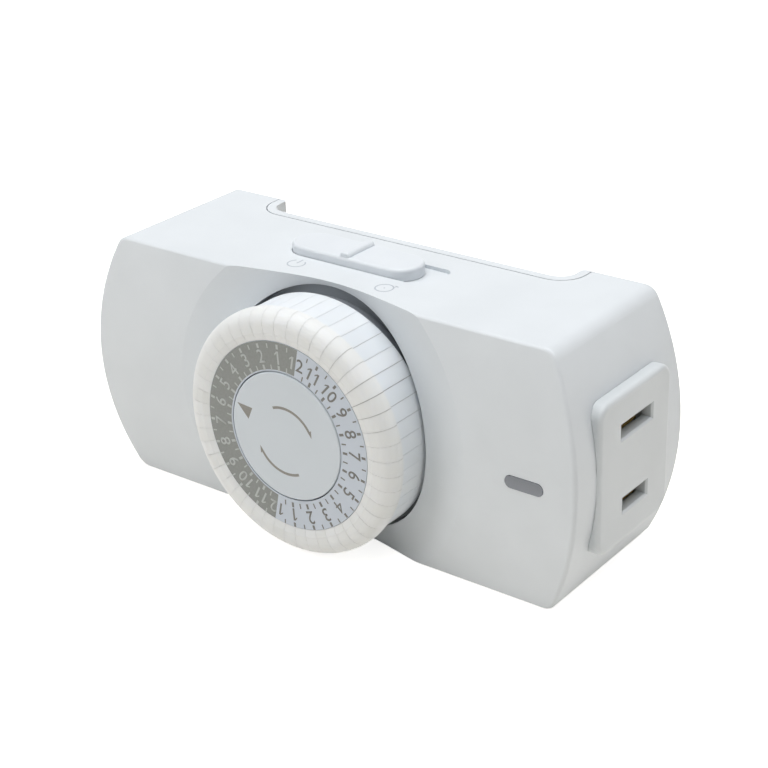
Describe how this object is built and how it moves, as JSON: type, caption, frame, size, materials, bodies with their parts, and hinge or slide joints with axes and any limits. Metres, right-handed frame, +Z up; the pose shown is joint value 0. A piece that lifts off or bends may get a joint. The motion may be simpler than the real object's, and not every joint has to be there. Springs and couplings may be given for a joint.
{
  "type": "plug-in timer switch",
  "caption": "Plug-in mechanical timer switch: a rounded white housing with a ring of push-in trippers round a 24-hour dial, an override slider on top, an outlet in each end.",
  "frame": {"origin": "midway between the two plug blades, on the floor of the wall-plate recess", "axes": "+X along the housing towards the outlet at the right seen from the dial side, +Y into the wall along the plug blades, +Z up"},
  "size_m": [0.098, 0.0508, 0.0457],
  "materials": {
    "housing_white": "fine satin moulded",
    "insert_white": "fine satin moulded",
    "tripper_ivory": "moulded, slightly translucent",
    "drum_slate": "moulded",
    "ring_grey": "moulded and printed",
    "disc_pale": "moulded and printed",
    "lens_grey": "polished",
    "lamp_clear": "polished",
    "board_green": "satin",
    "resistor_tan": "matt",
    "chassis_grey": "moulded",
    "gear_white": "moulded",
    "holder_black": "moulded",
    "contact_brass": "rolled sheet",
    "spring_steel": "drawn",
    "screw_steel": "zinc plated",
    "motor_steel": "zinc plated"
  },
  "bodies": {
    "housing": {"front_housing": "housing_white", "back_cover": "housing_white", "cover_screws": "screw_steel", "outlet_insert_right": "insert_white", "outlet_insert_left": "insert_white", "outlet_clips_right": "contact_brass", "outlet_clips_left": "contact_brass", "indicator_lens": "lens_grey", "indicator_lamp": "lamp_clear", "lamp_board": "board_green", "lamp_resistor": "resistor_tan", "chassis": "chassis_grey", "chassis_screws": "screw_steel", "centre_disc": "disc_pale", "drum_clip": "spring_steel", "compound_axle": "spring_steel", "motor_case": "motor_steel", "motor_terminals": "contact_brass", "follower_pin": "spring_steel", "fixed_contact": "contact_brass", "slider_spring": "spring_steel", "blade_neutral": "contact_brass", "blade_hot": "contact_brass", "blade_holder": "holder_black", "neutral_bus": "contact_brass", "hot_bus": "contact_brass"},
    "dial": {"dial_drum": "drum_slate", "number_plate": "ring_grey", "dial_gear": "gear_white"},
    "compound": {"compound_gear": "gear_white"},
    "motor_rotor": {"motor_pinion": "contact_brass"},
    "slider": {"override_slider": "housing_white", "slider_cam": "housing_white"},
    "follower": {"follower_lever": "chassis_grey", "follower_spring": "spring_steel"},
    "contact_arm": {"contact_leaf": "contact_brass"},
    "hour_00": {"tripper_hour_00": "tripper_ivory"},
    "hour_01": {"tripper_hour_01": "tripper_ivory"},
    "hour_02": {"tripper_hour_02": "tripper_ivory"},
    "hour_03": {"tripper_hour_03": "tripper_ivory"},
    "hour_04": {"tripper_hour_04": "tripper_ivory"},
    "hour_05": {"tripper_hour_05": "tripper_ivory"},
    "hour_06": {"tripper_hour_06": "tripper_ivory"},
    "hour_07": {"tripper_hour_07": "tripper_ivory"},
    "hour_08": {"tripper_hour_08": "tripper_ivory"},
    "hour_09": {"tripper_hour_09": "tripper_ivory"},
    "hour_10": {"tripper_hour_10": "tripper_ivory"},
    "hour_11": {"tripper_hour_11": "tripper_ivory"},
    "hour_12": {"tripper_hour_12": "tripper_ivory"},
    "hour_13": {"tripper_hour_13": "tripper_ivory"},
    "hour_14": {"tripper_hour_14": "tripper_ivory"},
    "hour_15": {"tripper_hour_15": "tripper_ivory"},
    "hour_16": {"tripper_hour_16": "tripper_ivory"},
    "hour_17": {"tripper_hour_17": "tripper_ivory"},
    "hour_18": {"tripper_hour_18": "tripper_ivory"},
    "hour_19": {"tripper_hour_19": "tripper_ivory"},
    "hour_20": {"tripper_hour_20": "tripper_ivory"},
    "hour_21": {"tripper_hour_21": "tripper_ivory"},
    "hour_22": {"tripper_hour_22": "tripper_ivory"},
    "hour_23": {"tripper_hour_23": "tripper_ivory"}
  },
  "joints": [
    {"name": "dial_turn", "type": "hinge", "parent": "housing", "child": "dial", "pos_m": [0, -0.025, 0], "axis": [0, 1, 0], "continuous": true},
    {"name": "compound_turn", "type": "hinge", "parent": "housing", "child": "compound", "pos_m": [0.01424, -0.015, 0.00213], "axis": [0, 1, 0], "continuous": true},
    {"name": "motor_turn", "type": "hinge", "parent": "housing", "child": "motor_rotor", "pos_m": [0.0199, -0.012, -0.008], "axis": [0, 1, 0], "continuous": true},
    {"name": "slider_travel", "type": "slide", "parent": "housing", "child": "slider", "axis": [1, 0, 0], "range_m": [0, 0.0036]},
    {"name": "follower_swing", "type": "hinge", "parent": "housing", "child": "follower", "pos_m": [-0.017, -0.0107, 0.012], "axis": [1, 0, 0], "range_deg": [-11, 0]},
    {"name": "contact_swing", "type": "hinge", "parent": "housing", "child": "contact_arm", "pos_m": [-0.017, -0.0094, -0.008], "axis": [1, 0, 0], "range_deg": [0, 4.2]},
    {"name": "hour_00_push", "type": "slide", "parent": "dial", "child": "hour_00", "axis": [0, 1, 0], "range_m": [0, 0.0025]},
    {"name": "hour_01_push", "type": "slide", "parent": "dial", "child": "hour_01", "axis": [0, 1, 0], "range_m": [0, 0.0025]},
    {"name": "hour_02_push", "type": "slide", "parent": "dial", "child": "hour_02", "axis": [0, 1, 0], "range_m": [0, 0.0025]},
    {"name": "hour_03_push", "type": "slide", "parent": "dial", "child": "hour_03", "axis": [0, 1, 0], "range_m": [0, 0.0025]},
    {"name": "hour_04_push", "type": "slide", "parent": "dial", "child": "hour_04", "axis": [0, 1, 0], "range_m": [0, 0.0025]},
    {"name": "hour_05_push", "type": "slide", "parent": "dial", "child": "hour_05", "axis": [0, 1, 0], "range_m": [0, 0.0025]},
    {"name": "hour_06_push", "type": "slide", "parent": "dial", "child": "hour_06", "axis": [0, 1, 0], "range_m": [0, 0.0025]},
    {"name": "hour_07_push", "type": "slide", "parent": "dial", "child": "hour_07", "axis": [0, 1, 0], "range_m": [0, 0.0025]},
    {"name": "hour_08_push", "type": "slide", "parent": "dial", "child": "hour_08", "axis": [0, 1, 0], "range_m": [0, 0.0025]},
    {"name": "hour_09_push", "type": "slide", "parent": "dial", "child": "hour_09", "axis": [0, 1, 0], "range_m": [0, 0.0025]},
    {"name": "hour_10_push", "type": "slide", "parent": "dial", "child": "hour_10", "axis": [0, 1, 0], "range_m": [0, 0.0025]},
    {"name": "hour_11_push", "type": "slide", "parent": "dial", "child": "hour_11", "axis": [0, 1, 0], "range_m": [0, 0.0025]},
    {"name": "hour_12_push", "type": "slide", "parent": "dial", "child": "hour_12", "axis": [0, 1, 0], "range_m": [0, 0.0025]},
    {"name": "hour_13_push", "type": "slide", "parent": "dial", "child": "hour_13", "axis": [0, 1, 0], "range_m": [0, 0.0025]},
    {"name": "hour_14_push", "type": "slide", "parent": "dial", "child": "hour_14", "axis": [0, 1, 0], "range_m": [0, 0.0025]},
    {"name": "hour_15_push", "type": "slide", "parent": "dial", "child": "hour_15", "axis": [0, 1, 0], "range_m": [0, 0.0025]},
    {"name": "hour_16_push", "type": "slide", "parent": "dial", "child": "hour_16", "axis": [0, 1, 0], "range_m": [0, 0.0025]},
    {"name": "hour_17_push", "type": "slide", "parent": "dial", "child": "hour_17", "axis": [0, 1, 0], "range_m": [0, 0.0025]},
    {"name": "hour_18_push", "type": "slide", "parent": "dial", "child": "hour_18", "axis": [0, 1, 0], "range_m": [0, 0.0025]},
    {"name": "hour_19_push", "type": "slide", "parent": "dial", "child": "hour_19", "axis": [0, 1, 0], "range_m": [0, 0.0025]},
    {"name": "hour_20_push", "type": "slide", "parent": "dial", "child": "hour_20", "axis": [0, 1, 0], "range_m": [0, 0.0025]},
    {"name": "hour_21_push", "type": "slide", "parent": "dial", "child": "hour_21", "axis": [0, 1, 0], "range_m": [0, 0.0025]},
    {"name": "hour_22_push", "type": "slide", "parent": "dial", "child": "hour_22", "axis": [0, 1, 0], "range_m": [0, 0.0025]},
    {"name": "hour_23_push", "type": "slide", "parent": "dial", "child": "hour_23", "axis": [0, 1, 0], "range_m": [0, 0.0025]}
  ],
  "couplings": [
    {"joint": "compound_turn", "follows": "dial_turn", "ratio": -5},
    {"joint": "motor_turn", "follows": "dial_turn", "ratio": 24},
    {"joint": "follower_swing", "follows": "slider_travel", "rad_per_m": -53.324},
    {"joint": "contact_swing", "follows": "slider_travel", "rad_per_m": 20.36}
  ]
}
